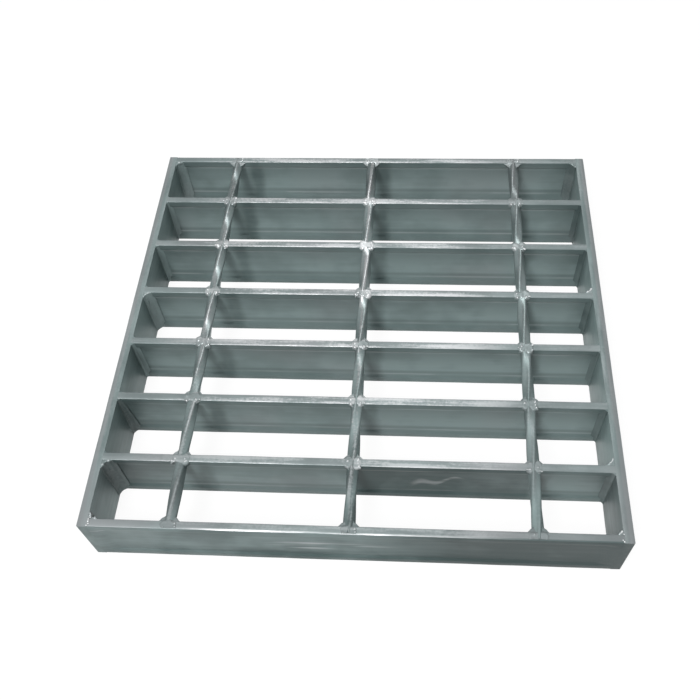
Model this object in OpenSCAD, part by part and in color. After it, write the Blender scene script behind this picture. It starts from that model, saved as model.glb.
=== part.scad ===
// Forge-welded steel grating panel, millimetres, +Z up, lying flat on its underside.
// Bearing bars run along X, twisted cross rods along Y, banding bars close both ends.

/* [Panel] */
// length along the bearing bars, over both banding bars
panel_length = 300; // [200:1:1200]
// number of bearing bars
bar_count = 8; // [3:1:24]
// spacing of the bearing bars, centre to centre
bar_pitch = 40; // [25:0.5:66]

/* [Bearing bars] */
// depth of the bearing bars and of the whole panel
bar_depth = 40; // [25:1:60]
// width of the top and bottom flanges
flange_width = 5; // [4:0.1:8]
// height of the straight edge of a flange
flange_edge = 5; // [3:0.1:8]
// height of the slope between flange edge and web
flange_slope = 1.5; // [0.5:0.1:3]
// thickness of the web
web_thickness = 3; // [2:0.1:4]
// chamfer that stands for the rolled corners of the bars
rolled_corner = 0.4; // [0.1:0.1:1]

/* [Banding bars] */
// thickness of the flat bar across the ends of the bearing bars
band_thickness = 6; // [4:0.5:10]

/* [Twisted cross rods] */
// side of the square rod
rod_size = 6; // [4:0.5:10]
// spacing of the cross rods, centre to centre
rod_pitch = 99.5; // [50:0.5:120]
// number of cross rods
rod_count = 3; // [1:1:12]
// distance of the whole rod set from the middle of the panel
rod_set_shift = 0.5; // [-5:0.1:5]
// distance of the middle rod from its even spacing
middle_rod_shift = -1.5; // [-5:0.1:5]
// chamfer that stands for the rounded edges of the square rod
rod_corner = 0.9; // [0.2:0.1:1.4]
// twist of a rod over one bar spacing, degrees
twist_per_bar = 82.5; // [30:0.5:180]
// turn of each rod's square at the back face, from the left, degrees
twist_starts = [45, 87, 23]; // [0:1:90]
// twist in one facet, degrees
twist_step = 12; // [5:0.5:20]

/* [Forge welds] */
// half diagonal of the diamond of upset metal at each crossing
upset_reach = 8.8; // [6:0.1:12]
// depth of the upset metal below the top of the bars
upset_depth = 7; // [4:0.1:10]
// height of the upset metal above the top of the bars
upset_rise = 0.4; // [0.1:0.1:1]
// slope height at the foot of the upset metal
upset_slope = 3; // [1:0.1:4]

/* [End welds] */
// for each bar from the back, whether it has a weld on its front side at the left band
left_front_welds = [true, false, false, true, false, true, true, false];
// the same on its back side at the left band
left_back_welds = [false, false, false, false, false, false, false, true];
// the same on its front side at the right band
right_front_welds = [true, false, false, false, false, false, false, false];
// the same on its back side at the right band
right_back_welds = [false, false, false, true, false, false, true, true];
// leg of a fillet weld
weld_leg = 5; // [2:0.1:8]
// thickness of a fillet weld at its thin edges
weld_toe = 0.3; // [0.1:0.1:1]
// distance of the fillet welds from the underside
weld_lift = 1; // [0:0.1:5]
// length of the weld that fills the hollow of the outermost bars at the bands
corner_weld = 9; // [2:0.5:20]
// length over which that weld runs out
corner_runout = 3; // [0.5:0.1:6]

/* [Hidden] */
panel_width = (bar_count - 1) * bar_pitch + flange_width;
bar_length = panel_length - 2 * band_thickness;
first_bar_y = (bar_count - 1) * bar_pitch / 2;
rod_radius = (rod_size - rod_corner) / sqrt(2);
rod_z = bar_depth - rod_radius;
rod_turn = twist_per_bar * panel_width / bar_pitch;
rod_slices = ceil(rod_turn / twist_step);
middle_rod = (rod_count - 1) / 2;
corner_full = max(corner_weld - corner_runout, 0.5);

function bar_y(i) = first_bar_y - i * bar_pitch;
function rod_x(j) = (j - middle_rod) * rod_pitch + rod_set_shift
    + (j == middle_rod ? middle_rod_shift : 0);

// I-section of a bearing bar, upright in the X-Y plane, foot on the X axis
module bar_section() {
    f = flange_width / 2;
    w = web_thickness / 2;
    c = rolled_corner;
    e = flange_edge;
    s = flange_edge + flange_slope;
    d = bar_depth;
    side = [[f - c, 0], [f, c], [f, e], [w, s], [w, d - s], [f, d - e], [f, d - c], [f - c, d]];
    polygon(concat(side, [for (i = [len(side) - 1 : -1 : 0]) [-side[i][0], side[i][1]]]));
}

module bearing_bar() {
    rotate([90, 0, 90])
        linear_extrude(bar_length, center = true) bar_section();
}

module bearing_bars() {
    for (i = [0 : bar_count - 1])
        translate([0, bar_y(i), 0]) bearing_bar();
}

// square with small chamfers
module rod_section() {
    h = rod_size / 2;
    c = h - rod_corner;
    polygon([[h, -c], [h, c], [c, h], [-c, h], [-h, c], [-h, -c], [-c, -h], [c, -h]]);
}

module twisted_rod(start) {
    translate([0, panel_width / 2, rod_z])
        rotate([90, 0, 0])
            linear_extrude(panel_width, twist = -rod_turn, slices = rod_slices)
                rotate(start) rod_section();
}

module diamond(reach) {
    polygon([[reach, 0], [0, reach], [-reach, 0], [0, -reach]]);
}

// metal squeezed out where a rod is forged into a bar
module upset_metal() {
    foot = (upset_reach - upset_slope) / upset_reach;
    head = (upset_reach - 2 * upset_rise) / upset_reach;
    translate([0, 0, bar_depth - upset_depth + upset_slope]) {
        linear_extrude(upset_depth - upset_slope) diamond(upset_reach);
        mirror([0, 0, 1])
            linear_extrude(upset_slope, scale = foot) diamond(upset_reach);
    }
    translate([0, 0, bar_depth])
        linear_extrude(upset_rise, scale = head) diamond(upset_reach);
}

// upset metal of one rod, cut flush with the front and back bars
module forge_welds() {
    intersection() {
        for (i = [0 : bar_count - 1])
            translate([0, bar_y(i), 0]) upset_metal();
        translate([-panel_width, -panel_width / 2, 0])
            cube([2 * panel_width, panel_width, 2 * bar_depth]);
    }
}

module bar_grid() {
    color([0.56, 0.6, 0.6]) {
        bearing_bars();
        for (j = [0 : rod_count - 1])
            translate([rod_x(j), 0, 0]) {
                twisted_rod(twist_starts[j % len(twist_starts)]);
                forge_welds();
            }
    }
}

module flat_band() {
    c = rolled_corner;
    t = band_thickness;
    d = bar_depth;
    rotate([90, 0, 0])
        linear_extrude(panel_width, center = true)
            polygon([[0, 0], [t - c, 0], [t, c], [t, d - c], [t - c, d], [0, d]]);
}

// hollow-faced fillet, bar face on the X axis and band face on the Y axis
module fillet_section() {
    recess = (flange_width - web_thickness) / 2;
    difference() {
        translate([-weld_leg, -recess]) square([weld_leg, weld_leg + recess]);
        translate([-weld_leg - weld_toe, weld_leg + weld_toe]) circle(weld_leg);
    }
}

// upright weld on the back of a bar at the right band
module end_weld() {
    translate([0, flange_width / 2, weld_lift])
        linear_extrude(bar_depth - weld_lift - rolled_corner) fillet_section();
}

// weld in the hollow side of an outermost bar, flush with its flanges
module hollow_fill() {
    f = flange_width / 2;
    w = web_thickness / 2;
    translate([0, 0, flange_edge])
        linear_extrude(bar_depth - 2 * flange_edge)
            polygon([[0, 0], [0, f], [-corner_full, f], [-corner_full - corner_runout, w], [-corner_full, 0]]);
}

// band on the right-hand end with its welds
module banding(front_welds, back_welds) {
    translate([panel_length / 2 - band_thickness, 0, 0]) flat_band();
    difference() {
        for (i = [0 : bar_count - 1])
            translate([panel_length / 2 - band_thickness, bar_y(i), 0]) {
                if (front_welds[i] == true) mirror([0, 1, 0]) end_weld();
                if (back_welds[i] == true) end_weld();
                if (i == 0) hollow_fill();
                if (i == bar_count - 1) mirror([0, 1, 0]) hollow_fill();
            }
        bearing_bars();
    }
}

module left_band() {
    color([0.6, 0.6, 0.6]) mirror([1, 0, 0]) banding(left_front_welds, left_back_welds);
}

module right_band() {
    color([0.6, 0.6, 0.6]) banding(right_front_welds, right_back_welds);
}

bar_grid();
left_band();
right_band();
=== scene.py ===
"""Dresses a hot-dip galvanised bar grating panel: rolled bars, twisted rods, forge welds and end welds."""

import math
import random

import bmesh
import bpy
from bpy.props import FloatProperty, FloatVectorProperty, IntProperty, PointerProperty
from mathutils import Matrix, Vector


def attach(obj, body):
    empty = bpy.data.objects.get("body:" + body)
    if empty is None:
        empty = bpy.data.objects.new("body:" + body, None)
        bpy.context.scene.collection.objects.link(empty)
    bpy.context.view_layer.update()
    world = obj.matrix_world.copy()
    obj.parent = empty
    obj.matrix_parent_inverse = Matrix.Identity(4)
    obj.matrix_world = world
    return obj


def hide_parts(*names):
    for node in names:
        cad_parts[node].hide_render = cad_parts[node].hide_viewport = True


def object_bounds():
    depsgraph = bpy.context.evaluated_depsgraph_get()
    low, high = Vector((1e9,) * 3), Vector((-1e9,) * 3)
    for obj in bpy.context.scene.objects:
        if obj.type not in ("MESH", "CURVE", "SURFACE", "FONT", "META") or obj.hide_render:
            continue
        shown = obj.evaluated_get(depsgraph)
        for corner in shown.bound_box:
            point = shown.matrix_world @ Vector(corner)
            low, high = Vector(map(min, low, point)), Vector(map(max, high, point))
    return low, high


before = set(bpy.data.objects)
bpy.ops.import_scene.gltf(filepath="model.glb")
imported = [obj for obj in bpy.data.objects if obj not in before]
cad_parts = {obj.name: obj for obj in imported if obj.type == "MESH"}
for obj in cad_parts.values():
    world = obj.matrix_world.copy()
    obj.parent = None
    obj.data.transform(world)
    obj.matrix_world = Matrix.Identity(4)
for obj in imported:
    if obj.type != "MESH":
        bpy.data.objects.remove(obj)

bl_info = {
    "name": "Bar Grating Panel",
    "version": (1, 0, 0),
    "blender": (4, 5, 0),
    "location": "View3D > Sidebar > Grating",
    "description": "Builds the bars, rods, welds and stage of a galvanised grating panel",
    "category": "Add Mesh",
}

CAD_LOW, CAD_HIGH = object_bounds()
PANEL = Vector(CAD_HIGH) - Vector(CAD_LOW)
MM = 0.001
HIGHEST = CAD_HIGH[2] - 0.02 * MM


# ---------------------------------------------------------------- settings

class GratingSizes(bpy.types.PropertyGroup):
    """Sizes of the panel and its pieces"""
    bar_count: IntProperty(name="Bars", description="Number of bearing bars", default=8, min=2)
    bar_pitch: FloatProperty(name="Bar pitch", description="Spacing of the bearing bars",
                             default=40 * MM, unit="LENGTH")
    bar_depth: FloatProperty(name="Bar depth", description="Depth of the bearing bars",
                             default=40 * MM, unit="LENGTH")
    flange_width: FloatProperty(name="Flange width", description="Width of a flange",
                                default=5 * MM, unit="LENGTH")
    flange_edge: FloatProperty(name="Flange edge", description="Height of a flange's straight edge",
                               default=5 * MM, unit="LENGTH")
    flange_slope: FloatProperty(name="Flange slope", description="Height of the slope to the web",
                                default=1.5 * MM, unit="LENGTH")
    web_thickness: FloatProperty(name="Web", description="Thickness of the web",
                                 default=3 * MM, unit="LENGTH")
    band_thickness: FloatProperty(name="Band", description="Thickness of a banding bar",
                                  default=6 * MM, unit="LENGTH")
    rolled_radius: FloatProperty(name="Rolled corner", description="Radius of the bars' corners",
                                 default=0.6 * MM, unit="LENGTH")
    rod_size: FloatProperty(name="Rod", description="Side of the square rod",
                            default=6 * MM, unit="LENGTH")
    rod_radius: FloatProperty(name="Rod corner", description="Radius of the rod's edges",
                              default=1.4 * MM, unit="LENGTH")
    rod_pitch: FloatProperty(name="Rod pitch", description="Spacing of the cross rods",
                             default=99.5 * MM, unit="LENGTH")
    rod_shift: FloatProperty(name="Rod set shift", description="Distance of the rods from the middle",
                             default=0.5 * MM, unit="LENGTH")
    middle_shift: FloatProperty(name="Middle rod shift", description="Middle rod off its even spacing",
                                default=-1.5 * MM, unit="LENGTH")
    rod_drop: FloatProperty(name="Rod drop", description="Rod's axis below the top of the bars",
                            default=3.25 * MM, unit="LENGTH")
    twists: FloatVectorProperty(name="Twists", description="Twist of each rod over one bar pitch",
                                default=[math.radians(a) for a in (82.5, 82.5, 78.0)],
                                subtype="EULER")
    turns: FloatVectorProperty(name="Turns", description="Turn of each rod at the middle of the panel",
                               default=[math.radians(a) for a in (-17.5, 24.0, 6.4)],
                               subtype="EULER")
    upset_reach: FloatProperty(name="Upset reach", description="Half diagonal of a forge weld",
                               default=8.5 * MM, unit="LENGTH")
    corner_run: FloatProperty(name="Corner run", description="Leg of the zinc in a plain corner",
                              default=1.3 * MM, unit="LENGTH")
    corner_fill: FloatProperty(name="Corner fill", description="Length filled flush at the outer corners",
                               default=9 * MM, unit="LENGTH")


class ZincColours(bpy.types.PropertyGroup):
    """Colours of the zinc coat and of the floor"""
    face: FloatVectorProperty(name="Zinc", description="Main tone of the zinc coat",
                              default=(0.225, 0.292, 0.290), subtype="COLOR", size=3, min=0, max=1)
    # deep is also the colour of painted shade in corners, below the tops and on the outer faces
    deep: FloatVectorProperty(name="Deep zinc", description="Dull patches and shaded corners",
                              default=(0.062, 0.090, 0.089), subtype="COLOR", size=3, min=0, max=1)
    # pale_and_sheen: pale streaks, and the colour of painted sheen and highlight lines
    pale_and_sheen: FloatVectorProperty(name="Pale zinc", description="Bright streaks and edges",
                              default=(0.53, 0.54, 0.55), subtype="COLOR", size=3, min=0, max=1)
    # glint: the colour of painted highlights on edges, pads and drops
    glint: FloatVectorProperty(name="Glint", description="Bare bright drops and edges",
                               default=(0.77, 0.78, 0.79), subtype="COLOR", size=3, min=0, max=1)
    warm: FloatVectorProperty(name="Warm zinc", description="Faint warm patches",
                              default=(0.245, 0.255, 0.262), subtype="COLOR", size=3, min=0, max=1)
    floor: FloatVectorProperty(name="Floor", description="Colour of the floor",
                               default=(0.62, 0.62, 0.62), subtype="COLOR", size=3, min=0, max=1)


class StageSettings(bpy.types.PropertyGroup):
    """Camera and lamps"""
    eye: FloatVectorProperty(name="Eye", description="Place of the camera", subtype="TRANSLATION",
                             default=(0.0349, -0.30875, 0.47142), unit="LENGTH")
    gaze: FloatVectorProperty(name="Gaze", description="Turn of the camera", subtype="EULER",
                              default=[math.radians(a) for a in (34.852, 2.348, 2.770)])
    lens: FloatProperty(name="Lens", description="Focal length", default=43.485, unit="CAMERA")
    shift: FloatVectorProperty(name="Shift", description="Shift of the lens",
                               default=(-0.0244, -0.0290), size=2)
    key_power: FloatProperty(name="Key", description="Power of the key lamp", default=15.0,
                             unit="POWER")
    top_power: FloatProperty(name="Top", description="Power of the lamp overhead", default=9.0,
                             unit="POWER")
    back_power: FloatProperty(name="Back", description="Power of the long lamp behind", default=4.4,
                              unit="POWER")
    side_power: FloatProperty(name="Side", description="Power of the lamp at the left", default=0.2,
                              unit="POWER")
    fill_power: FloatProperty(name="Fill", description="Power of the fill lamp", default=0.2,
                              unit="POWER")
    sky: FloatProperty(name="Sky", description="Strength of the plain surroundings", default=0.42)
    white: FloatProperty(name="White", description="Share of plain white in what the floor shows",
                         default=0.93, min=0, max=1)


# ---------------------------------------------------------------- modelling helpers

def deselect():
    if bpy.context.mode != "OBJECT":
        bpy.ops.object.mode_set(mode="OBJECT")
    bpy.ops.object.select_all(action="DESELECT")


def take(obj):
    """Select one object alone and make it active."""
    deselect()
    obj.select_set(True)
    bpy.context.view_layer.objects.active = obj
    return obj


def settle(obj):
    """Move an object's place into its mesh."""
    take(obj)
    bpy.ops.object.transform_apply(location=True, rotation=True, scale=True)
    return obj


def block(name, low, high):
    """A box between two corners, ready to be shaped."""
    low, high = Vector(low), Vector(high)
    deselect()
    bpy.ops.mesh.primitive_cube_add(size=1, location=(low + high) / 2, scale=high - low)
    obj = bpy.context.active_object
    obj.name = obj.data.name = name
    return settle(obj)


def pick(obj, kind, wanted):
    """In edit mode, select only the vertices, edges or faces that pass a test."""
    if bpy.context.mode != "EDIT_MESH":
        take(obj)
        bpy.ops.object.mode_set(mode="EDIT")
    bpy.ops.mesh.select_mode(type=kind)
    bpy.ops.mesh.select_all(action="DESELECT")
    bm = bmesh.from_edit_mesh(obj.data)
    for item in {"VERT": bm.verts, "EDGE": bm.edges, "FACE": bm.faces}[kind]:
        if wanted(item):
            item.select_set(True)
    bm.select_flush_mode()
    bmesh.update_edit_mesh(obj.data)


def runs_along(edge, axis, least=0.5):
    """Whether an edge runs along an axis and is longer than a length in mm."""
    line = edge.verts[1].co - edge.verts[0].co
    return line.length > least * MM and abs(line[axis]) > 0.99 * line.length


def finish_edit():
    bpy.ops.object.mode_set(mode="OBJECT")


def cut_across(obj, axis, places):
    """Cut the whole mesh by planes across an axis."""
    take(obj)
    bpy.ops.object.mode_set(mode="EDIT")
    normal = [0, 0, 0]
    normal[axis] = 1
    for place in places:
        bpy.ops.mesh.select_all(action="SELECT")
        point = [0, 0, 0]
        point[axis] = place
        bpy.ops.mesh.bisect(plane_co=point, plane_no=normal)
    finish_edit()


def modify(obj, kind, **settings):
    """Add a modifier with its settings and apply it."""
    take(obj)
    modifier = obj.modifiers.new(kind.title(), kind)
    for name, value in settings.items():
        setattr(modifier, name, value)
    bpy.ops.object.modifier_apply(modifier=modifier.name)


def clouds(name, size, depth=2):
    """A soft noise for uneven surfaces."""
    texture = bpy.data.textures.get(name) or bpy.data.textures.new(name, "CLOUDS")
    texture.noise_scale = size
    texture.noise_depth = depth
    texture.noise_basis = "IMPROVED_PERLIN"
    return texture


def uneven(obj, name, size, amount, middle=1.0, depth=2):
    """Make a surface slightly uneven, inwards only unless a middle is given."""
    modify(obj, "DISPLACE", texture=clouds(name, size, depth), texture_coords="GLOBAL",
           strength=amount, mid_level=middle, direction="NORMAL")


def smooth(obj, angle=40):
    take(obj)
    bpy.ops.object.shade_smooth_by_angle(angle=math.radians(angle))


def copy_to(obj, name, place, turn=0.0, flip=False):
    """A copy with its own mesh, turned about Z or flipped left to right, then put in its place."""
    take(obj)
    bpy.ops.object.duplicate(linked=False)
    other = bpy.context.active_object
    other.name = other.data.name = name
    other.rotation_euler = (0, 0, turn)
    other.location = place
    if flip:
        other.scale = (-1, 1, 1)
    settle(other)
    if flip:
        bpy.ops.object.mode_set(mode="EDIT")
        bpy.ops.mesh.select_all(action="SELECT")
        bpy.ops.mesh.normals_make_consistent(inside=False)
        finish_edit()
    return other


def join(objects, name):
    deselect()
    for obj in objects:
        obj.select_set(True)
    bpy.context.view_layer.objects.active = objects[0]
    if len(objects) > 1:
        bpy.ops.object.join()
    whole = bpy.context.active_object
    whole.name = whole.data.name = name
    return whole


def discard(obj):
    take(obj)
    bpy.ops.object.delete()


def drop(place, size, scale=(1, 1, 1)):
    """A small round drop of zinc, in millimetres."""
    deselect()
    bpy.ops.mesh.primitive_ico_sphere_add(subdivisions=2, radius=size * MM,
                                          location=Vector(place) * MM, scale=scale)
    return settle(bpy.context.active_object)


def clip(obj, axis, place, side):
    """Cut off what lies beyond a plane and close the cut."""
    take(obj)
    bpy.ops.object.mode_set(mode="EDIT")
    bpy.ops.mesh.select_all(action="SELECT")
    point, normal = [0, 0, 0], [0, 0, 0]
    point[axis], normal[axis] = side * place, side
    bpy.ops.mesh.bisect(plane_co=point, plane_no=normal, use_fill=True, clear_outer=True)
    finish_edit()


def seat(obj, node, material):
    """Dress a finished piece and fix it to the panel."""
    obj.data.materials.clear()
    obj.data.materials.append(material)
    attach(obj, "root")
    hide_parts(node)


# ---------------------------------------------------------------- material helpers

class Wire:
    """A socket's value, which can be used in a sum as a number can."""

    def __init__(self, recipe, socket):
        self.recipe, self.socket = recipe, socket

    def _math(self, operation, *values):
        return self.recipe.node("ShaderNodeMath", {"operation": operation}, dict(enumerate(values)))

    def __add__(self, other): return self._math("ADD", self, other)
    def __radd__(self, other): return self._math("ADD", other, self)
    def __sub__(self, other): return self._math("SUBTRACT", self, other)
    def __rsub__(self, other): return self._math("SUBTRACT", other, self)
    def __mul__(self, other): return self._math("MULTIPLY", self, other)
    def __rmul__(self, other): return self._math("MULTIPLY", other, self)
    def __truediv__(self, other): return self._math("DIVIDE", self, other)
    def __neg__(self): return self._math("MULTIPLY", self, -1.0)
    def __abs__(self): return self._math("ABSOLUTE", self)


class Recipe:
    """A new material and its nodes."""

    def __init__(self, name):
        self.material = bpy.data.materials.new(name)
        self.material.use_nodes = True
        self.tree = self.material.node_tree
        self.tree.nodes.clear()

    def node(self, kind, settings=None, inputs=None, output=0):
        made = self.tree.nodes.new(kind)
        for name, value in (settings or {}).items():
            if name == "stops":
                ramp = made.color_ramp
                while len(ramp.elements) < len(value):
                    ramp.elements.new(0.5)
                for element, (place, colour) in zip(ramp.elements, value):
                    element.position, element.color = place, colour
            else:
                setattr(made, name, value)
        for name, value in (inputs or {}).items():
            socket = made.inputs[name]
            if isinstance(value, Wire):
                self.tree.links.new(value.socket, socket)
            else:
                socket.default_value = value
        return Wire(self, made.outputs[output])

    def place(self):
        return self.node("ShaderNodeTexCoord", output="Object")

    def axes(self, vector):
        made = self.node("ShaderNodeSeparateXYZ", inputs={"Vector": vector}).socket.node
        return [Wire(self, made.outputs[i]) for i in range(3)]

    def noise(self, vector, size, stretch=(1, 1, 1), detail=3.0, rough=0.5, shift=(0, 0, 0)):
        """Noise whose features are about a size in metres, longer where the stretch is larger."""
        scale = [1 / (size * s) for s in stretch]
        mapped = self.node("ShaderNodeMapping", inputs={"Vector": vector, "Scale": scale,
                                                        "Location": shift})
        return self.node("ShaderNodeTexNoise", {"noise_dimensions": "3D"},
                         {"Vector": mapped, "Scale": 1.0, "Detail": detail, "Roughness": rough})

    def span(self, value, low, high):
        """A smooth step from 0 to 1 between two values, held at both ends."""
        return self.node("ShaderNodeMapRange", {"interpolation_type": "SMOOTHSTEP"},
                         {"Value": value, "From Min": low, "From Max": high})

    def blend(self, factor, first, second):
        """Mix two colours."""
        made = self.node("ShaderNodeMix", {"data_type": "RGBA", "clamp_factor": True}).socket.node
        for index, value in ((0, factor), (6, first), (7, second)):
            if isinstance(value, Wire):
                self.tree.links.new(value.socket, made.inputs[index])
            else:
                made.inputs[index].default_value = (*value[:3], 1) if index else value
        return Wire(self, made.outputs[2])

    def bump(self, height, distance, strength):
        return self.node("ShaderNodeBump", inputs={"Height": height, "Distance": distance,
                                                   "Strength": strength})

    def output(self, shader):
        end = self.tree.nodes.new("ShaderNodeOutputMaterial")
        self.tree.links.new(shader.socket, end.inputs["Surface"])
        return self.material


def zinc(name, colours, grain_axis=0, bright=0.0, lumpy=0.0, sizes=None, gloss=0.0, two_tone=0.0,
         runs=(), shade_below_top=0.0):
    """Hot-dip zinc on rolled steel, with streaks along one axis and painted shade and highlights; sizes
    are given for flanged bars, and runs are the rods' places, beside which bands of painted shade are
    drawn.
    """
    made = Recipe(name)
    here = made.place()
    x, y, z = made.axes(here)
    stretch = [1, 1, 1]
    stretch[grain_axis] = 12
    patches = made.noise(here, 0.05, detail=2.0)
    streaks = made.noise(here, 0.0035, stretch, detail=4.0, rough=0.6)
    warm = made.noise(here, 0.07, detail=1.5, shift=(3.1, 1.7, 5.2))
    grain = made.noise(here, 0.0014, detail=3.0, rough=0.6)
    soft = 1.1 * MM * (lumpy == 1)
    top = made.span(z, PANEL.z - 1.1 * MM - soft, PANEL.z - 0.6 * MM - soft * 0.4)
    beyond = made.span(abs(x), PANEL.x / 2 - 1 * MM, PANEL.x / 2 - 0.4 * MM)
    ahead = made.span(abs(y), PANEL.y / 2 - 1.7 * MM, PANEL.y / 2 - 1.3 * MM) * (1 - top)
    inside = (1 - beyond) * (1 - ahead) * (1 - top)
    # middle: where the painted sheen and highlights sit, about the middle of the panel
    middle = 1 - made.span(abs(x + 14 * MM), 60 * MM, 115 * MM)
    mottle = made.noise(here, 0.017, detail=2.0, shift=(1, 6, 2))
    tone = made.span(patches * 0.45 + streaks * 0.2 + mottle * 0.35, 0.36, 0.62) * 0.4
    # painted shade: the tops and the outer faces get darker zinc than the faces between the bars, the
    # outer faces darker still towards the bottom and towards the right
    front_shade = made.span(x + (patches - 0.5) * 40 * MM, -10 * MM, 78 * MM) * 0.45
    low = (1 - made.span(z, 6 * MM, 18 * MM)) * 0.25
    dark = 0.34 - tone + top * (0.27 + 0.1 * bool(two_tone) + 0.16 * bool(sizes))
    dark = dark + ahead * (front_shade + low * (1 - front_shade) + 0.48)
    if lumpy == 1:
        # painted shade on the welds towards the front, and below the top at the back bar
        dark = dark + made.span(-y, 100 * MM, 120 * MM) * 0.35
        dark = dark + made.span(y, 110 * MM, 130 * MM) * (1 - top) * 0.5
    if gloss == 1:
        # painted shade on the rods towards the front (less on the last rod) and at the back
        dark = dark + made.span(-y, 70 * MM, 120 * MM) * (
            0.5 - 0.45 * made.span(x, 50 * MM, 70 * MM))
        dark = dark + made.span(y, 95 * MM, 110 * MM) * 0.45
    if two_tone:
        # the right band is darker along the inside of its top towards the front and in the last opening
        right = made.span(x, 100 * MM, 120 * MM) * (1 - beyond)
        dark = dark + right * (top * 0.25 * made.span(-y, -40 * MM, 0.0)
                               + (1 - top) * 0.5 * made.span(-y, 95 * MM, 105 * MM))
        # painted shade: both bands are darker in the corner in front of each bar
        across = made.node("ShaderNodeMath", {"operation": "MODULO"},
                           {0: y + PANEL.y / 2 + 40 * MM, 1: 40 * MM})
        corner = made.span(across + (mottle - 0.5) * 8 * MM, 26 * MM, 37 * MM)
        dark = dark + corner * (1 - top) * (1 - beyond) * 0.35
    if shade_below_top:
        # painted shade: metal below the top is darker, more at the right and near the front
        right, near = made.span(x, -10 * MM, 10 * MM), made.span(-y, 42 * MM, 62 * MM)
        dark = dark + shade_below_top * (1 - top) * (0.35 + 0.65 * (right + near - right * near))
    gloom = 0.0
    if runs:
        # painted shade: soft dark bands a little to the right of each rod, standing in for the rods'
        # reflected shadows
        shifted = x * (1 / 0.965) - 8.8 * MM
        gap = abs(shifted - runs[0])
        for place in runs[1:]:
            gap = made.node("ShaderNodeMath", {"operation": "MINIMUM"},
                            {0: gap, 1: abs(shifted - place)})
        wander = (mottle - 0.5) * 5 * MM
        dark = dark + inside * 0.5 * (1 - made.span(gap + wander, 1 * MM, 7.5 * MM))
        # a darker face in one opening of the front row; painted shade at the left ends of the faces, in
        # the front left corner and at the right ends, with a little less of it just right of the last rod
        row, left = made.span(-y, 85 * MM, 95 * MM), 1 - made.span(x, -135 * MM, -95 * MM)
        gloom = row * made.span(x, -6 * MM, -2 * MM) * (1 - made.span(x, 98 * MM, 102 * MM))
        gloom = gloom * (1 - 0.35 * made.span(x, 50 * MM, 85 * MM))
        corner = (1 - made.span(x, -138 * MM, -124 * MM)) * made.span(-y, 0.0, 60 * MM)
        end = made.span(x + (mottle - 0.5) * 12 * MM, 118 * MM, 140 * MM)
        dark = dark + inside * (gloom * 0.95 + left * (0.22 + 0.4 * row) + corner * 0.3 + end * 0.28
                               - made.span(x, 102 * MM, 110 * MM) * 0.14)
        # the front bar's top is darker at the right
        last = made.span(-y, PANEL.y / 2 - 8 * MM, PANEL.y / 2 - 6 * MM) * made.span(x, -10 * MM, 25 * MM)
        dark = dark + top * last * 0.35
    colour = made.blend(dark, colours.face, colours.deep)
    colour = made.blend(made.span(warm, 0.48, 0.68) * (
        0.6 - 0.3 * inside * (1 + gloom) - 0.5 * ahead), colour, colours.warm)
    if sizes or two_tone:
        colour = made.blend(top * (0.33 if sizes else 0.16), colour, colours.warm)
    shine = made.span(streaks * 0.8 + grain * 0.3, 0.48, 0.68)
    # painted sheen on the tops, strongest about the middle and fading towards the front
    pale_and_sheen = top * (shine * (0.12 + 0.55 * middle) + 0.05 * middle) * (
        1 - 0.65 * made.span(-y, 50 * MM, 140 * MM))
    # the lighter tone of the rods and welds; on the rods it fades towards the front as painted shade
    pale_and_sheen = pale_and_sheen + bright * (0.3 + 0.4 * made.span(grain, 0.42, 0.68)) * (
        1 - 0.6 * bool(gloss) * made.span(-y, 40 * MM, 110 * MM))
    if two_tone:
        rim = made.span(abs(x), PANEL.x / 2 - 3.4 * MM, PANEL.x / 2 - 2.4 * MM) * top
        colour = made.blend(rim * two_tone, colour, made.blend(0.22, colours.warm, colours.deep))
    if sizes:
        # shade and thin light lines by height on the faces between the bars
        shade = made.node("ShaderNodeValToRGB", {"stops": [
            (place / 40, (value, value, value, 1)) for place, value in
            ((0, 0.5), (6.0, 0.45), (8.5, 0.25), (11, 0.45), (13.5, 0.0), (18, 0.0), (31, 0.28),
             (33.3, 0.1), (34.6, 0.42), (39, 0.5))]}, {"Fac": z * (1 / (40 * MM))})
        colour = made.blend(shade * inside * (0.7 + streaks * 0.6), colour, colours.deep)
        foot = sizes.flange_edge + sizes.flange_slope
        highlight_breaks = made.span(made.noise(here, 0.008, (6, 1, 1), detail=3.0), 0.40, 0.60)
        # painted highlight lines along the flange edges, broken up by noise
        for height, part in ((foot + 2 * MM, inside), (sizes.bar_depth - foot - 0.3 * MM, 1 - top)):
            line = 1 - made.span(abs(z - height), 0.2 * MM, 0.9 * MM)
            pale_and_sheen = pale_and_sheen + line * part * highlight_breaks * 0.22
        # painted highlight along the front edges of the bars' tops, broken up by noise, and painted shade
        # on that edge of the front bar towards the right
        across = made.node("ShaderNodeMath", {"operation": "MODULO"},
                           {0: y + PANEL.y / 2 + sizes.bar_pitch, 1: sizes.bar_pitch})
        edge = top * (1 - made.span(across, 0.7 * MM, 1.5 * MM))
        edge_glint_breaks = made.span(made.noise(here, 0.006, (9, 1, 1), detail=4.0), 0.38, 0.58)
        front = made.span(-y, PANEL.y / 2 - 8 * MM, PANEL.y / 2 - 6 * MM)
        fading = made.span(x, 5 * MM, 50 * MM)
        edge_shade = top * front * fading * (1 - made.span(across, 0.6 * MM, 1.4 * MM)) * 0.8
        edge = edge * edge_glint_breaks * middle * (0.2 + 0.8 * front * (1 - fading * 0.85))
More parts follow.
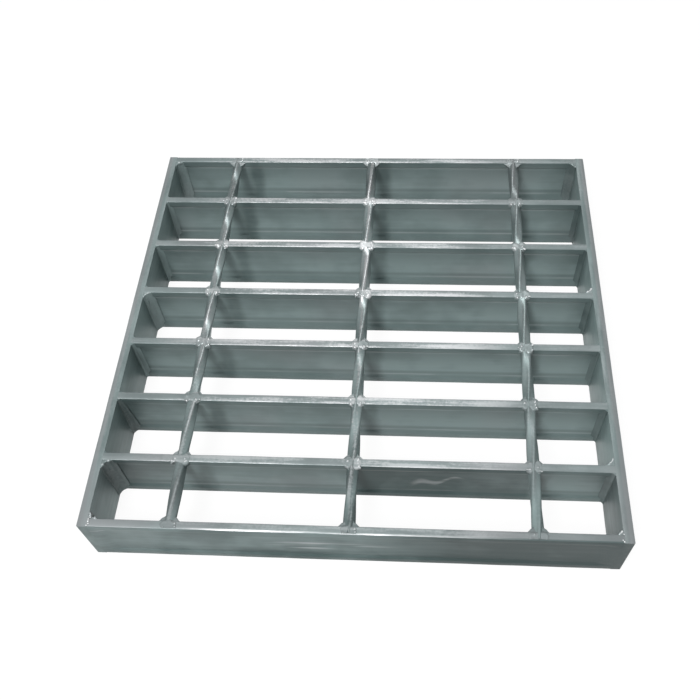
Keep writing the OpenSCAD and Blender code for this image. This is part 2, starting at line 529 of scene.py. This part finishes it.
        # a wavy scuff on that darker face
        away = (x - 46.6 * MM) * (1 / MM)
        wave = made.node("ShaderNodeMath", {"operation": "COSINE"}, {0: away * 0.33})
        rise = abs(z - (20.9 + away * 0.297 - wave * 2.2) * MM)
        wide = (2.2 - away * 0.09) * MM
        scuffed = (1 - made.span(rise / wide, 0.3, 1.5)) * (1 - made.span(abs(away), 10.0, 17.0))
        torn = made.span(made.noise(here, 0.004, (5, 1, 1), detail=3.0, shift=(5, 1, 0)), 0.35, 0.55)
        pale_and_sheen = pale_and_sheen + scuffed * gloom * inside * (0.12 + 0.2 * torn)
        pale_band = made.span(made.noise(here, 0.004, (14, 1, 1), detail=2.0, shift=(2, 0, 7)), 0.46, 0.66)
        pale_band = pale_band * ahead * made.span(-y, 0.0, 10 * MM)
        pale_band = pale_band * (1 - made.span(abs(x + 12 * MM), 12 * MM, 42 * MM))
        pale_band = pale_band * (1 - made.span(abs(z - 19 * MM), 3 * MM, 8 * MM))
        pale_and_sheen = pale_and_sheen + pale_band * 0.5
    colour = made.blend(pale_and_sheen, colour, colours.pale_and_sheen)
    # painted shade: the outer faces go near black towards the right
    colour = made.blend(ahead * front_shade * 0.9, colour, (0.015, 0.022, 0.022))
    # painted shade and painted highlight on the bars' top edges
    if sizes:
        colour = made.blend(edge_shade, colour, colours.deep)
        colour = made.blend(edge, colour, colours.glint)
    if lumpy:
        colour = made.blend(top * 0.35 * lumpy, colour, colours.warm)
        # painted highlight on the weld pads' tops, strongest about the middle of the panel
        highlight_spot = (1 - made.span(abs(y - 45 * MM), 15 * MM, 75 * MM)) * (0.3 + 0.7 * middle)
        highlight_spot = highlight_spot + 0.35 * made.span(middle, 0.8, 0.95) * (1 - made.span(-y, 100 * MM, 120 * MM))
        pad_highlight = top * highlight_spot * made.span(mottle, 0.35, 0.6) * 0.6 * lumpy
        colour = made.blend(pad_highlight, colour, colours.glint)
        # painted glint on the tops of the zinc drops and lumps, weaker towards the front
        least = 0.16 * MM if lumpy == 1 else 0.42 * MM
        drops = made.span(z, PANEL.z - least, PANEL.z - least * 0.4) * (0.6 + 0.4 * highlight_spot) * (
            1 - 0.6 * (lumpy == 1) * made.span(-y, 70 * MM, 120 * MM))
        colour = made.blend(drops, colour, colours.glint)
    rough = 0.42 - 0.14 * gloss - top * 0.06 - shine * 0.05 + grain * 0.08
    rough = rough + bool(gloss) * (made.span(-y, -5 * MM, 85 * MM) * 0.24
                                   + made.span(-y, 75 * MM, 110 * MM) * 0.12)
    height = patches * 0.3 + streaks * 0.1 + grain * (0.05 + 0.08 * lumpy)
    normal = made.bump(height, 0.6 * MM, 0.5)
    shader = made.node("ShaderNodeBsdfPrincipled", inputs={
        "Base Color": colour, "Roughness": rough, "Metallic": 0.3 + 0.4 * gloss - ahead * 0.2,
        "Specular IOR Level": 0.12, "Normal": normal})
    return made.output(shader)


def floor_finish(colours, white):
    """Pale floor that looks near white to the eye and in the metal, and keeps soft shadows."""
    made = Recipe("pale_floor")
    rays = made.node("ShaderNodeLightPath").socket.node
    camera, glossy, through = (Wire(made, rays.outputs[f"Is {kind} Ray"])
                               for kind in ("Camera", "Glossy", "Transmission"))
    seen = made.span(camera + glossy + through, 0.0, 1.0)
    speck = made.noise(made.place(), 0.02, detail=3.0)
    colour = made.blend(made.span(speck, 0.3, 0.7) * 0.06, colours.floor, (0.55, 0.55, 0.55))
    colour = made.blend(seen, colour, (0.93, 0.93, 0.93))
    matt = made.node("ShaderNodeBsdfDiffuse", inputs={"Color": colour})
    glow = made.node("ShaderNodeEmission", inputs={"Color": (1, 1, 1, 1), "Strength": 1.0})
    mixed = made.node("ShaderNodeMixShader", inputs={0: seen * white, 1: matt, 2: glow})
    return made.output(mixed)


# ---------------------------------------------------------------- places

def bar_places(sizes):
    first = (sizes.bar_count - 1) * sizes.bar_pitch / 2
    return [first - i * sizes.bar_pitch for i in range(sizes.bar_count)]


def rod_places(sizes):
    return [-sizes.rod_pitch + sizes.rod_shift, sizes.rod_shift + sizes.middle_shift,
            sizes.rod_pitch + sizes.rod_shift]


# ---------------------------------------------------------------- pieces

class GRATING_OT_bars(bpy.types.Operator):
    """Roll the I-section bearing bars"""
    bl_idname = "grating.bars"
    bl_label = "Bearing Bars"

    def execute(self, context):
        sizes, colours = context.scene.grating_sizes, context.scene.grating_colours
        sunk = 0.6 * MM
        half = PANEL.x / 2 - sizes.band_thickness + sunk
        wide, deep = sizes.flange_width / 2, sizes.bar_depth
        foot = sizes.flange_edge + sizes.flange_slope
        bar = block("bar", (-half, -wide, 0), (half, wide, deep))
        cut_across(bar, 2, [sizes.flange_edge, foot, deep - foot, deep - sizes.flange_edge])
        pick(bar, "VERT", lambda v: foot - 1e-5 < v.co.z < deep - foot + 1e-5)
        bpy.ops.transform.resize(value=(1, sizes.web_thickness / sizes.flange_width, 1),
                                 center_override=(0, 0, 0))
        pick(bar, "EDGE", lambda e: runs_along(e, 0) and len(e.link_faces) == 2
             and e.calc_face_angle() > 0.2)
        bpy.ops.mesh.bevel(offset=sizes.rolled_radius, segments=3, profile=0.5)
        pick(bar, "EDGE", lambda e: runs_along(e, 0))
        bpy.ops.mesh.subdivide(number_cuts=60)
        finish_edit()
        # the rods' places set where the painted shade bands beside the rods go
        finish = zinc("zinc_bars", colours, sizes=sizes, runs=rod_places(sizes))
        for i, place in enumerate(bar_places(sizes)):
            piece = copy_to(bar, f"bearing_bar_{i + 1}", (0, place, 0))
            if i in (0, sizes.bar_count - 1):
                side, start = (1 if i == 0 else -1), half - sizes.corner_fill
                pick(piece, "VERT", lambda v: abs(v.co.x) > start and side * (v.co.y - place) > 0
                     and abs(v.co.z - deep / 2) < deep / 2 - sizes.flange_edge + 0.7 * MM)
                bpy.ops.transform.resize(value=(1, 0, 1),
                                         center_override=(0, place + side * (wide - 0.03 * MM), 0))
                finish_edit()
            uneven(piece, "rolling", 0.035, 0.35 * MM)
            smooth(piece)
            seat(piece, "bar_grid", finish)
        discard(bar)
        return {"FINISHED"}


class GRATING_OT_rods(bpy.types.Operator):
    """Twist the square cross rods"""
    bl_idname = "grating.rods"
    bl_label = "Cross Rods"

    def execute(self, context):
        sizes, colours = context.scene.grating_sizes, context.scene.grating_colours
        set_back = 1.2 * MM
        half, side = PANEL.y / 2 - set_back, sizes.rod_size / 2
        rod = block("rod", (-side, -half, -side), (side, half, side))
        pick(rod, "EDGE", lambda e: runs_along(e, 1))
        bpy.ops.mesh.bevel(offset=sizes.rod_radius, segments=4, profile=0.5)
        pick(rod, "EDGE", lambda e: runs_along(e, 1))
        bpy.ops.mesh.subdivide(number_cuts=140)
        pick(rod, "EDGE", lambda e: runs_along(e, 1))
        bpy.ops.mesh.subdivide(number_cuts=1)
        finish_edit()
        finish = zinc("zinc_rods", colours, grain_axis=1, bright=0.3, gloss=1.0)
        for i, place in enumerate(rod_places(sizes)):
            take(rod)
            bpy.ops.object.duplicate(linked=False)
            piece = bpy.context.active_object
            piece.name = piece.data.name = f"cross_rod_{i + 1}"
            modify(piece, "SIMPLE_DEFORM", deform_method="TWIST", deform_axis="Y",
                   angle=sizes.twists[i] * 2 * half / sizes.bar_pitch)
            piece.rotation_euler = (0, math.radians(45) + sizes.turns[i], 0)
            piece.location = (place, 0, sizes.bar_depth - sizes.rod_drop)
            settle(piece)
            uneven(piece, "drawing", 0.012, 0.25 * MM)
            limit_height(piece)
            smooth(piece)
            seat(piece, "bar_grid", finish)
        discard(rod)
        return {"FINISHED"}


class GRATING_OT_forge_welds(bpy.types.Operator):
    """Squeeze up the forge welds where rods cross bars"""
    bl_idname = "grating.forge_welds"
    bl_label = "Forge Welds"

    def lump(self, sizes, chance, name, outer=False):
        """One crossing, centred on the top of a bar: webs in the corners and drops of zinc."""
        reach = sizes.upset_reach * (1 if outer else chance.uniform(0.9, 1.04))
        sunk, thick = 0.5 * MM, 5.0 * MM
        deselect()
        bpy.ops.mesh.primitive_cylinder_add(vertices=4, radius=reach, depth=thick,
                                            location=(0, 0, -sunk - thick / 2))
        pad = settle(bpy.context.active_object)
        pick(pad, "VERT", lambda v: v.co.z < -4 * MM)
        bpy.ops.transform.resize(value=(0.66, 0.66, 1), center_override=(0, 0, 0))
        pick(pad, "FACE", lambda f: f.normal.z > 0.9)
        bpy.ops.mesh.poke()
        pick(pad, "VERT", lambda v: v.co.z > -2 * MM and abs(v.co.y) > 1 * MM)
        bpy.ops.transform.translate(value=(0, 0, -1.3 * MM))
        pick(pad, "VERT", lambda v: v.co.y < -1 * MM)
        bpy.ops.transform.resize(value=(1, chance.uniform(0.5, 0.85), 1), center_override=(0, 0, 0))
        finish_edit()
        if outer:
            clip(pad, 1, 1.2 * MM, -1)
        parts = [pad]
        for side in (-1, 0, 1, 1):
            deselect()
            bpy.ops.mesh.primitive_cylinder_add(
                vertices=16, radius=1 * MM, depth=3 * MM,
                location=(side * chance.uniform(1.8, 3.2) * MM, chance.uniform(-0.9, 0.5) * MM,
                          chance.uniform(-1.47, -1.41) * MM),
                scale=(chance.uniform(2.2, 3.2), chance.uniform(2.5, 3.9), 1))
            knob = settle(bpy.context.active_object)
            pick(knob, "EDGE", lambda e: all(v.co.z > -0.3 * MM for v in e.verts))
            bpy.ops.mesh.bevel(offset=1.0 * MM, segments=3, profile=0.5)
            finish_edit()
            parts.append(knob)
        for _ in range(chance.randint(6, 9)):
            size = chance.uniform(0.5, 0.9)
            right = chance.random() < 0.62
            along = chance.triangular(1.6, 6.0, 3.0) if right else chance.triangular(-5.5, -1.8, -3.0)
            across = chance.uniform(-3.3, -1.6) if chance.random() < 0.7 else chance.uniform(-1, 2.2)
            low = 0.5 * max(-across - 2.7, 0)
            parts.append(drop((along, across, 0.5 - size - low), size,
                              (chance.uniform(0.8, 1.2), chance.uniform(0.8, 1.1), 1)))
        for side in (-1, 1):
            parts.append(drop((3.2 * side, 3.2, -2.2), chance.uniform(0.9, 1.4), (1, 1, 0.9)))
        whole = join(parts, name)
        modify(whole, "REMESH", mode="VOXEL", voxel_size=0.3 * MM)
        modify(whole, "SMOOTH", factor=0.5, iterations=1)
        if outer:
            clip(whole, 1, 1.6 * MM, -1)
        return whole

    def execute(self, context):
        sizes, colours = context.scene.grating_sizes, context.scene.grating_colours
        chance = random.Random(11)
        kinds = [self.lump(sizes, chance, f"lump_{k}", k > 5) for k in range(8)]
        finish = zinc("zinc_welds", colours, bright=0.12, lumpy=1.0, gloss=0.3, shade_below_top=0.5)
        bars = bar_places(sizes)
        for r, across in enumerate(rod_places(sizes)):
            welds = []
            for i, along in enumerate(bars):
                outer = i in (0, len(bars) - 1)
                kind = kinds[chance.randrange(6, 8) if outer else chance.randrange(6)]
                back = i == 0
                weld = copy_to(kind, f"weld_{r}_{i}", (across, along, sizes.bar_depth),
                               turn=math.pi * back, flip=back)
                uneven(weld, "forging", 0.003, 0.5 * MM, middle=0.5, depth=1)
                if outer:
                    clip(weld, 1, PANEL.y / 2 - 0.12 * MM, 1 if back else -1)
                welds.append(weld)
            piece = join(welds, f"forge_welds_{r + 1}")
            limit_height(piece)
            smooth(piece, 60)
            seat(piece, "bar_grid", finish)
        for kind in kinds:
            discard(kind)
        return {"FINISHED"}


def limit_height(obj):
    """Press down what stands above the panel's top."""
    pick(obj, "VERT", lambda v: v.co.z > HIGHEST)
    bpy.ops.transform.resize(value=(1, 1, 0), center_override=(0, 0, HIGHEST))
    finish_edit()


class GRATING_OT_bands(bpy.types.Operator):
    """Cut the flat banding bars"""
    bl_idname = "grating.bands"
    bl_label = "Banding Bars"

    def execute(self, context):
        sizes, colours = context.scene.grating_sizes, context.scene.grating_colours
        finish = zinc("zinc_bands", colours, grain_axis=1, two_tone=0.7)
        for name, side in (("left", -1), ("right", 1)):
            outer, inner = side * PANEL.x / 2, side * (PANEL.x / 2 - sizes.band_thickness)
            low, high = min(outer, inner), max(outer, inner)
            piece = block(f"{name}_banding_bar", (low, -PANEL.y / 2, 0),
                          (high, PANEL.y / 2, sizes.bar_depth))
            pick(piece, "EDGE", lambda e: runs_along(e, 1) and all(
                abs(v.co.x - inner) < 1e-5 for v in e.verts))
            bpy.ops.mesh.bevel(offset=0.3 * MM, segments=2, profile=0.5)
            pick(piece, "EDGE", lambda e: all(abs(v.co.x - outer) < 1e-5 for v in e.verts))
            bpy.ops.mesh.bevel(offset=0.7 * MM, segments=3, profile=0.5)
            pick(piece, "EDGE", lambda e: runs_along(e, 1, 100))
            bpy.ops.mesh.subdivide(number_cuts=60)
            finish_edit()
            uneven(piece, "rolling", 0.035, 0.35 * MM)
            smooth(piece)
            seat(piece, f"{name}_band", finish)
        return {"FINISHED"}


class GRATING_OT_end_welds(bpy.types.Operator):
    """Lay the fillet welds and the zinc runs between bars and bands"""
    bl_idname = "grating.end_welds"
    bl_label = "End Welds"

    # for each band: bar, side of the bar, leg and top in mm, shape of the hollow, drops on it
    welds = {"left": ((0, -1, 4.3, 39.7, 0.10, 3), (3, -1, 4.0, 39.7, 0.15, 5), (5, -1, 3.4, 39.6, 0.1, 0),
                      (6, -1, 5.0, 39.7, 0.08, 6), (7, 1, 4.8, 39.7, 0.08, 4)),
             "right": ((0, -1, 4.0, 39.7, 0.25, 4), (3, 1, 4.0, 39.7, 0.12, 6), (6, 1, 5.5, 39.7, 0.08, 6),
                       (7, 1, 2.7, 39.7, 0.1, 6))}
    # drops on the joints at the front corners: distance from the front in mm
    ridge = {"left": (0.6, 1.7, 2.9, 4.2, 5.2), "right": (0.7, 1.6, 4.8, 6.4)}

    def fillet(self, leg, top, shape, steps, taper=1.0):
        """An upright fillet in a corner, wall at X 0 and bar at Y 0, towards -X and +Y."""
        leg *= MM
        fillet = block("fillet", (-leg, -1.0 * MM, 1 * MM), (0.5 * MM, leg, top * MM))
        pick(fillet, "EDGE", lambda e: runs_along(e, 2) and e.verts[0].co.x < -leg * 0.9
             and e.verts[0].co.y > leg * 0.9)
        bpy.ops.mesh.bevel(offset=leg * 0.96, segments=7, profile=shape)
        pick(fillet, "VERT", lambda v: v.co.x < -leg * 0.9 and v.co.y < -0.9 * MM)
        bpy.ops.transform.translate(value=(-2.2 * MM, 0, 0))
        if taper < 1:
            pick(fillet, "VERT", lambda v: v.co.z > 30 * MM and v.co.x < 0)
            bpy.ops.transform.resize(value=(taper, 1, 1), center_override=(0, 0, 0))
            pick(fillet, "VERT", lambda v: v.co.z > 30 * MM and v.co.y > 0)
            bpy.ops.transform.resize(value=(1, taper, 1), center_override=(0, 0, 0))
        pick(fillet, "EDGE", lambda e: runs_along(e, 2))
        bpy.ops.mesh.subdivide(number_cuts=steps)
        finish_edit()
        return fillet

    def fix(self, piece, side, way, wall, along):
        """Flip a corner's metal as needed and move it to its bar."""
        take(piece)
        piece.scale = (side, way, 1)
        piece.location = (side * wall, along, 0)
        settle(piece)
        if side * way < 0:
            bpy.ops.object.mode_set(mode="EDIT")
            bpy.ops.mesh.select_all(action="SELECT")
            bpy.ops.mesh.normals_make_consistent(inside=False)
            finish_edit()
        return piece

    def weld(self, chance, leg, top, shape, drops):
        parts = [self.fillet(leg, top, shape, 16, 1.0 if drops else 0.4)]
        for k in range(drops):
            turn = math.radians(chance.uniform(8, 82))
            size = chance.uniform(0.65, 1.2)
            x, y = leg * (math.cos(turn) - 1), leg * (1 - math.sin(turn))
            upper = k < drops * 0.7
            z = top + 0.6 - size if upper else top - chance.uniform(3, 10)
            parts.append(drop((x * 0.85 - 0.2, y * 0.85 + 0.2, z), size, (1, 1, 1 if upper else 3)))
        whole = join(parts, "weld")
        modify(whole, "REMESH", mode="VOXEL", voxel_size=0.38 * MM)
        modify(whole, "SMOOTH", factor=0.5, iterations=1)
        return whole

    def execute(self, context):
        sizes, colours = context.scene.grating_sizes, context.scene.grating_colours
        finish = zinc("zinc_end_welds", colours, grain_axis=2, bright=0.08, lumpy=0.6, shade_below_top=0.75)
        plain = zinc("zinc_runs", colours, grain_axis=2, shade_below_top=0.8)
        chance = random.Random(5)
        wall, face = PANEL.x / 2 - sizes.band_thickness, sizes.flange_width / 2
        bars = bar_places(sizes)
        for name, side in (("left", -1), ("right", 1)):
            welded = {(row[0], row[1]): row[2:] for row in self.welds[name]}
            beads, runs = [], []
            for i, along in enumerate(bars):
                for way in (-1, 1):
                    place = along + way * face
                    if abs(place) > PANEL.y / 2 - 1 * MM:
                        continue
                    if (i, way) in welded:
                        one = self.weld(chance, *welded[(i, way)])
                        beads.append(self.fix(one, side, way, wall, place))
                    else:
                        leg = sizes.corner_run / MM * chance.uniform(0.75, 1.15)
                        one = self.fillet(leg, 39.6, 0.12, 14)
                        runs.append(self.fix(one, side, way, wall, place))
            for at in self.ridge[name]:
                size = chance.uniform(0.5, 0.85)
                beads.append(drop((side * (wall / MM + chance.uniform(-1.4, 0.6)),
                                   -PANEL.y / 2 / MM + at + size * 0.3, HIGHEST / MM - size), size))
            piece = join(beads, f"{name}_end_welds")
            uneven(piece, "forging", 0.0035, 0.5 * MM, middle=0.6, depth=1)
            limit_height(piece)
            clip(piece, 1, PANEL.y / 2 - 0.05 * MM, -1)
            smooth(piece, 60)
            seat(piece, f"{name}_band", finish)
            piece = join(runs, f"{name}_corner_runs")
            uneven(piece, "running", 0.006, 0.4 * MM, middle=0.7, depth=1)
            smooth(piece, 60)
            seat(piece, f"{name}_band", plain)
        return {"FINISHED"}


# ---------------------------------------------------------------- stage

class GRATING_OT_stage(bpy.types.Operator):
    """Lay the floor, hang the lamps and set up the camera"""
    bl_idname = "grating.stage"
    bl_label = "Stage"

    def lamp(self, name, place, size, power, length=0):
        """A round lamp aimed at the panel, or a long one level above it."""
        deselect()
        bpy.ops.object.light_add(type="AREA", location=place)
        lamp = bpy.context.active_object
        lamp.name = name
        lamp.data.shape = "RECTANGLE" if length else "DISK"
        lamp.data.size = size
        lamp.data.energy = power
        if length:
            lamp.data.size_y = length
        else:
            lamp.rotation_euler = (-Vector(place)).to_track_quat("-Z", "Y").to_euler()

    def execute(self, context):
        stage, colours = context.scene.grating_stage, context.scene.grating_colours
        deselect()
        bpy.ops.mesh.primitive_plane_add(size=6, location=(0, 0, -0.5 * MM))
        floor = bpy.context.active_object
        floor.name = floor.data.name = "floor"
        floor.data.materials.append(floor_finish(colours, stage.white))

        self.lamp("key_lamp", (-0.35, -0.75, 1.25), 0.35, stage.key_power)
        self.lamp("top_lamp", (-0.18, -0.35, 1.4), 0.3, stage.top_power)
        self.lamp("back_lamp", (0.08, 0.85, 1.2), 0.35, stage.back_power, length=1.1)
        self.lamp("side_lamp", (-1.3, 0.2, 1.0), 0.7, stage.side_power)
        self.lamp("fill_lamp", (0.5, -1.3, 0.9), 1.2, stage.fill_power)

        world = bpy.data.worlds.new("plain_sky")
        context.scene.world = world
        world.use_nodes = True
        backdrop = world.node_tree.nodes["Background"]
        backdrop.inputs["Color"].default_value = (1, 1, 1, 1)
        backdrop.inputs["Strength"].default_value = stage.sky
        context.scene.view_settings.view_transform = "Standard"

        deselect()
        bpy.ops.object.camera_add(location=stage.eye)
        camera = bpy.context.active_object
        camera.name = "camera"
        camera.rotation_euler = stage.gaze
        camera.data.lens = stage.lens
        camera.data.sensor_width = 36
        camera.data.shift_x, camera.data.shift_y = stage.shift
        camera.data.clip_start = 0.01
        context.scene.camera = camera
        return {"FINISHED"}


class GRATING_PT_panel(bpy.types.Panel):
    """Buttons for the pieces of the grating"""
    bl_label = "Bar Grating Panel"
    bl_idname = "GRATING_PT_panel"
    bl_space_type = "VIEW_3D"
    bl_region_type = "UI"
    bl_category = "Grating"

    def draw(self, context):
        scene = context.scene
        for group in (scene.grating_sizes, scene.grating_colours, scene.grating_stage):
            column = self.layout.column()
            for name in group.bl_rna.properties.keys():
                if name not in {"rna_type", "name"}:
                    column.prop(group, name)
        for operator in PIECES:
            self.layout.operator(operator.bl_idname)


PIECES = (GRATING_OT_bars, GRATING_OT_rods, GRATING_OT_forge_welds, GRATING_OT_bands,
          GRATING_OT_end_welds, GRATING_OT_stage)
CLASSES = (GratingSizes, ZincColours, StageSettings, *PIECES, GRATING_PT_panel)


def register():
    for cls in CLASSES:
        bpy.utils.register_class(cls)
    bpy.types.Scene.grating_sizes = PointerProperty(type=GratingSizes)
    bpy.types.Scene.grating_colours = PointerProperty(type=ZincColours)
    bpy.types.Scene.grating_stage = PointerProperty(type=StageSettings)


def unregister():
    del bpy.types.Scene.grating_stage
    del bpy.types.Scene.grating_colours
    del bpy.types.Scene.grating_sizes
    for cls in reversed(CLASSES):
        bpy.utils.unregister_class(cls)


def main():
    register()
    bpy.ops.grating.bars()
    bpy.ops.grating.rods()
    bpy.ops.grating.forge_welds()
    bpy.ops.grating.bands()
    bpy.ops.grating.end_welds()
    bpy.ops.grating.stage()


if __name__ == "__main__":
    main()
